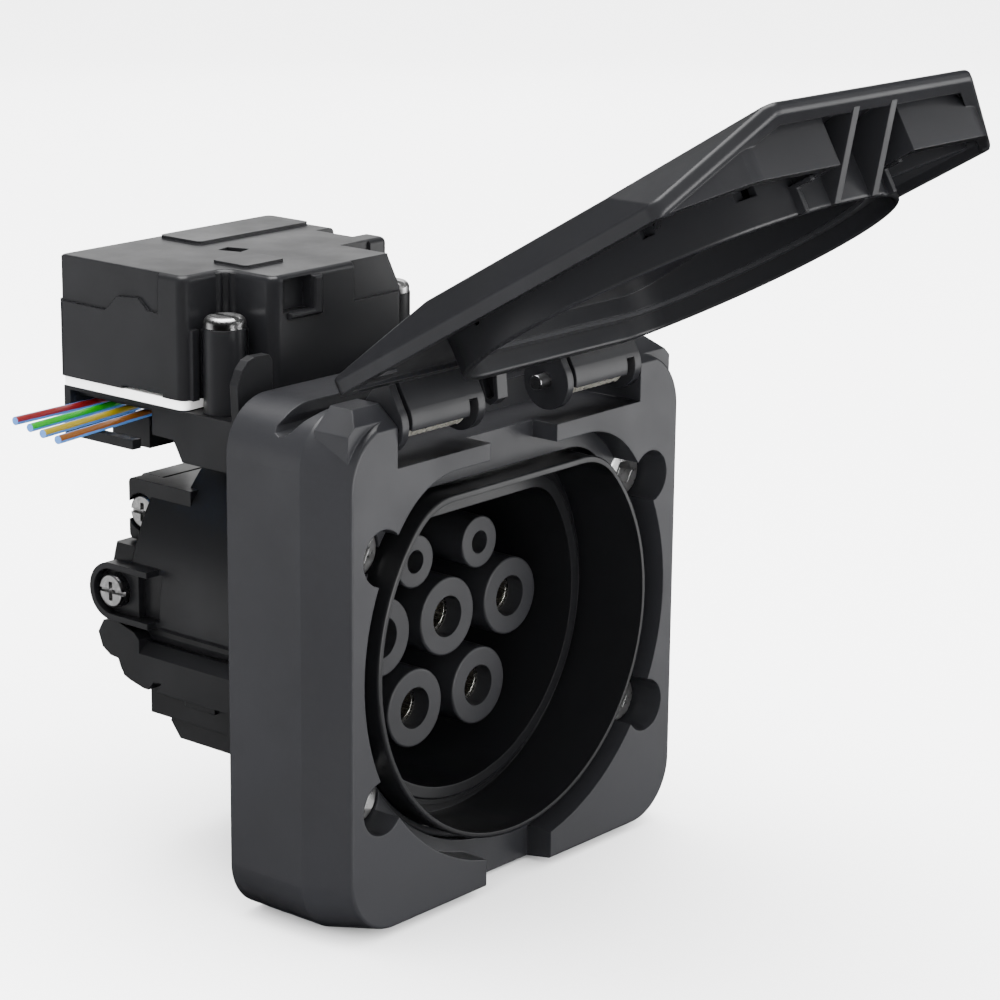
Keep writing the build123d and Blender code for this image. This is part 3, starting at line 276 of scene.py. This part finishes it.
LEADS = [
    ("lead_red", 72.9, 72.6, -49.6, (0.095, 0.0015, 0.0020)),
    ("lead_green", 69.4, 67.0, -51.2, (0.0020, 0.150, 0.0010)),
    ("lead_yellow", 65.3, 62.2, -52.6, (0.150, 0.110, 0.0015)),
    ("lead_brown", 60.8, 57.2, -53.7, (0.080, 0.026, 0.0025)),
]
LEAD_Z, LEAD_X0, LEAD_X1, LEAD_R = 35.0, -27.5, -19.0, 0.75


def lead_y(ys, ye, xe, x):
    return ys + (ye - ys) * (x - LEAD_X0) / (xe - LEAD_X0)


def make_lead(name, ys, ye, xe, stripe):
    cu = bpy.data.curves.new(name + "_sheath", "CURVE")
    cu.dimensions = "3D"
    sp = cu.splines.new("NURBS")
    xs = [LEAD_X1, -23.5, LEAD_X0, -32.0, -38.0, -44.0, xe + 3.0, xe]
    pts = [V(x, lead_y(ys, ye, xe, x), LEAD_Z) for x in xs]
    sp.points.add(len(pts) - 1)
    for p, q in zip(sp.points, pts):
        p.co = (q.x, q.y, q.z, 1.0)
    sp.order_u = 3
    sp.use_endpoint_u = True
    cu.bevel_depth = LEAD_R / 1000.0
    cu.bevel_resolution = 8
    cu.resolution_u = 10
    cu.use_fill_caps = True
    ob = bpy.data.objects.new(name + "_sheath", cu)
    bpy.context.scene.collection.objects.link(ob)
    ob.data.materials.append(lead_material(name, stripe))
    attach(ob, "socket")
    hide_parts(name)
    return ob


for ld in LEADS:
    make_lead(*ld)

# ------------------------------------------------------- mesh piece helpers
def link(name, bm, mat, body, smooth=True, angle=35.0):
    me = bpy.data.meshes.new(name)
    bmesh.ops.recalc_face_normals(bm, faces=bm.faces)
    bm.to_mesh(me)
    bm.free()
    ob = bpy.data.objects.new(name, me)
    bpy.context.scene.collection.objects.link(ob)
    me.materials.append(mat)
    if smooth:
        for p in me.polygons:
            p.use_smooth = True
        me.set_sharp_from_angle(angle=math.radians(angle))
    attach(ob, body)
    return ob


def tube(bm, pts, r, seg=10, caps=True):
    """Round wire through a list of points."""
    rings = []
    prev = None
    n = len(pts)
    for i, p in enumerate(pts):
        t = (pts[min(i + 1, n - 1)] - pts[max(i - 1, 0)]).normalized()
        if prev is None:
            ref = Vector((0, 0, 1)) if abs(t.z) < 0.9 else Vector((1, 0, 0))
            a = t.cross(ref).normalized()
        else:
            a = (prev - t * prev.dot(t)).normalized()
        b = t.cross(a).normalized()
        prev = a
        rings.append([bm.verts.new(p + (a * math.cos(2 * math.pi * k / seg) + b * math.sin(2 * math.pi * k / seg)) * r) for k in range(seg)])
    for r0, r1 in zip(rings, rings[1:]):
        for k in range(seg):
            bm.faces.new((r0[k], r0[(k + 1) % seg], r1[(k + 1) % seg], r1[k]))
    if caps:
        bm.faces.new(list(reversed(rings[0])))
        bm.faces.new(rings[-1])


def lathe(bm, prof, origin, axis, seg=40, ref=None):
    """Closed of revolution: prof is [(r, h)] along axis from origin (metres)."""
    axis = Vector(axis).normalized()
    ref = Vector(ref) if ref else (Vector((0, 0, 1)) if abs(axis.z) < 0.9 else Vector((1, 0, 0)))
    a = axis.cross(ref).normalized()
    b = axis.cross(a).normalized()
    rings = []
    for r, h in prof:
        c = Vector(origin) + axis * h
        if r < 1e-9:
            rings.append([bm.verts.new(c)])
        else:
            rings.append([bm.verts.new(c + (a * math.cos(2 * math.pi * k / seg) + b * math.sin(2 * math.pi * k / seg)) * r) for k in range(seg)])
    for r0, r1 in zip(rings, rings[1:]):
        for k in range(seg):
            k2 = (k + 1) % seg
            if len(r0) == 1 and len(r1) == 1:
                continue
            if len(r0) == 1:
                bm.faces.new((r0[0], r1[k2], r1[k]))
            elif len(r1) == 1:
                bm.faces.new((r0[k], r0[k2], r1[0]))
            else:
                bm.faces.new((r0[k], r0[k2], r1[k2], r1[k]))


def mm(*v):
    return [x / 1000.0 for x in v]


# ------------------------------------------------- carried-over CAD materials
ASSIGN = {
    "mounting_flange": "shell", "cover": "cover", "socket_insert": "black", "contact_carrier": "tower", "contact_towers": "tower", "rear_cap": "black",
    "rear_seal": "rubber", "cover_seal": "rubber", "panel_inserts": "brass", "flange_screws": "screw", "rear_cap_screws": "screw",
    "hinge_pin_left": "pin", "hinge_pin_right": "pin", "lock_bracket": "bracket", "lock_base_plate": "white", "lock_case": "case",
    "lock_screws": "screw", "locking_pin": "pin", "drive_gear": "gear", "gear_axle": "pin", "lock_motor": "motor", "motor_pinion": "brass",
    "control_board": "board", "position_switch": "black", "lead_block": "white",
    "contact_earth": "silver", "contact_neutral": "silver", "contact_phase_1": "silver", "contact_phase_2": "silver", "contact_phase_3": "silver",
    "contact_pilot": "silver", "contact_proximity": "silver", "torsion_spring_left": "spring", "torsion_spring_right": "spring",
}
for node, m in ASSIGN.items():
    ob = NODES[node]
    ob.data.materials.clear()
    ob.data.materials.append(M[m])

# ---------------------------------------------------------------- springs
HY, HZ = 4.3, 42.7
for nm, xo in (("left", -31.7), ("right", 10.6)):
    bm = bmesh.new()
    N, pitch, R, w = 12, 1.28, 2.93, 0.40
    pts = []
    a0 = math.radians(235)
    # short ends that stay inside the cover's half shell
    for t in (0.66, 0.33):
        pts.append(V(xo + 2.2, HY + R * math.cos(a0) + t * math.sin(a0) * 0.9, HZ + R * math.sin(a0) - t * math.cos(a0) * 0.9))
    steps = 26
    for i in range(N * steps + 1):
        a = a0 + 2 * math.pi * i / steps
        pts.append(V(xo + 2.2 + pitch * i / steps, HY + R * math.cos(a), HZ + R * math.sin(a)))
    ae = a0
    for t in (0.33, 0.66):
        pts.append(V(xo + 2.2 + pitch * N + 0.05 * t, HY + R * math.cos(ae) - t * math.sin(ae) * 0.9, HZ + R * math.sin(ae) + t * math.cos(ae) * 0.9))
    tube(bm, pts, w / 1000.0, 10)
    ob = link("hinge_spring_wire_" + nm, bm, M["spring"], "socket", angle=60)
    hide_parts("torsion_spring_" + nm)

# ------------------------------- soft lip in the gap between flange and collar
def gap_lip():
    bm = bmesh.new()
    prof = ((36.02, 7.2), (36.5, 6.9), (37.0, 7.0), (37.26, 7.4), (37.26, 8.8), (36.9, 9.1), (36.3, 9.1), (36.02, 8.7))
    rings = []
    n = 120
    for i in range(n + 1):
        a = math.radians(-212.0 + 244.0 * i / n)
        rings.append([bm.verts.new(V(r * math.cos(a), y, r * math.sin(a))) for r, y in prof])
    m = len(prof)
    for r0, r1 in zip(rings, rings[1:]):
        for k in range(m):
            bm.faces.new((r0[k], r0[(k + 1) % m], r1[(k + 1) % m], r1[k]))
    bm.faces.new(rings[0])
    bm.faces.new(list(reversed(rings[-1])))
    link("collar_gap_lip", bm, M["rubber"], "socket", angle=50)


gap_lip()

# ------------------------------------------------------------ floor and light
def stage():
    bm = bmesh.new()
    z = -0.0452
    s = 3.0
    vs = [bm.verts.new((x, y, z)) for x, y in ((-s, -s), (s, -s), (s, s), (-s, s))]
    bm.faces.new(vs)
    me = bpy.data.meshes.new("floor")
    bm.to_mesh(me)
    bm.free()
    ob = bpy.data.objects.new("floor", me)
    bpy.context.scene.collection.objects.link(ob)
    k = Net("floor_pale")
    co = k.coord()
    c = k.ramp(k.noise(co, 1.4, 2.0), [(0.3, (0.86, 0.86, 0.865, 1)), (0.7, (0.89, 0.89, 0.895, 1))])
    k.l(c, k.bsdf.inputs["Base Color"])
    k.bsdf.inputs["Roughness"].default_value = 0.85
    k.bsdf.inputs["Specular IOR Level"].default_value = 0.1
    me.materials.append(k.mat)
    ob.visible_glossy = False

    w = bpy.data.worlds.new("studio")
    bpy.context.scene.world = w
    w.use_nodes = True
    nt = w.node_tree
    nt.nodes.clear()
    out = nt.nodes.new("ShaderNodeOutputWorld")
    bg = nt.nodes.new("ShaderNodeBackground")
    bg.inputs[0].default_value = (1.0, 1.0, 1.0, 1)
    bg.inputs[1].default_value = 5.6
    nt.links.new(bg.outputs[0], out.inputs[0])
    w.cycles_visibility.glossy = False

    def area(name, loc, target, size, power, sy=None, col=(1, 1, 1)):
        l = bpy.data.lights.new(name, "AREA")
        l.shape = "RECTANGLE"
        l.size, l.size_y = size, sy or size
        l.energy = power
        l.color = col
        o = bpy.data.objects.new(name, l)
        bpy.context.scene.collection.objects.link(o)
        o.location = loc
        d = Vector(target) - Vector(loc)
        o.rotation_euler = d.to_track_quat("-Z", "Y").to_euler()
        return o

    area("key_top", (0.05, 0.10, 0.95), (0, 0, 0.0), 0.9, 26.0)
    area("left_back_soft", (-0.75, 0.80, -0.10), (0, 0, 0.0), 0.7, 1.6, 0.6)
    area("front_soft", (0.05, -0.95, 0.05), (0, 0, 0.02), 0.5, 13.0, 0.7)
    area("front_right_soft", (0.80, -0.70, 0.05), (0, 0, 0.0), 0.6, 7.0, 0.8)
    area("rim_back", (0.75, 0.75, 0.28), (0, 0, 0.04), 0.8, 1.8, 0.4)


stage()
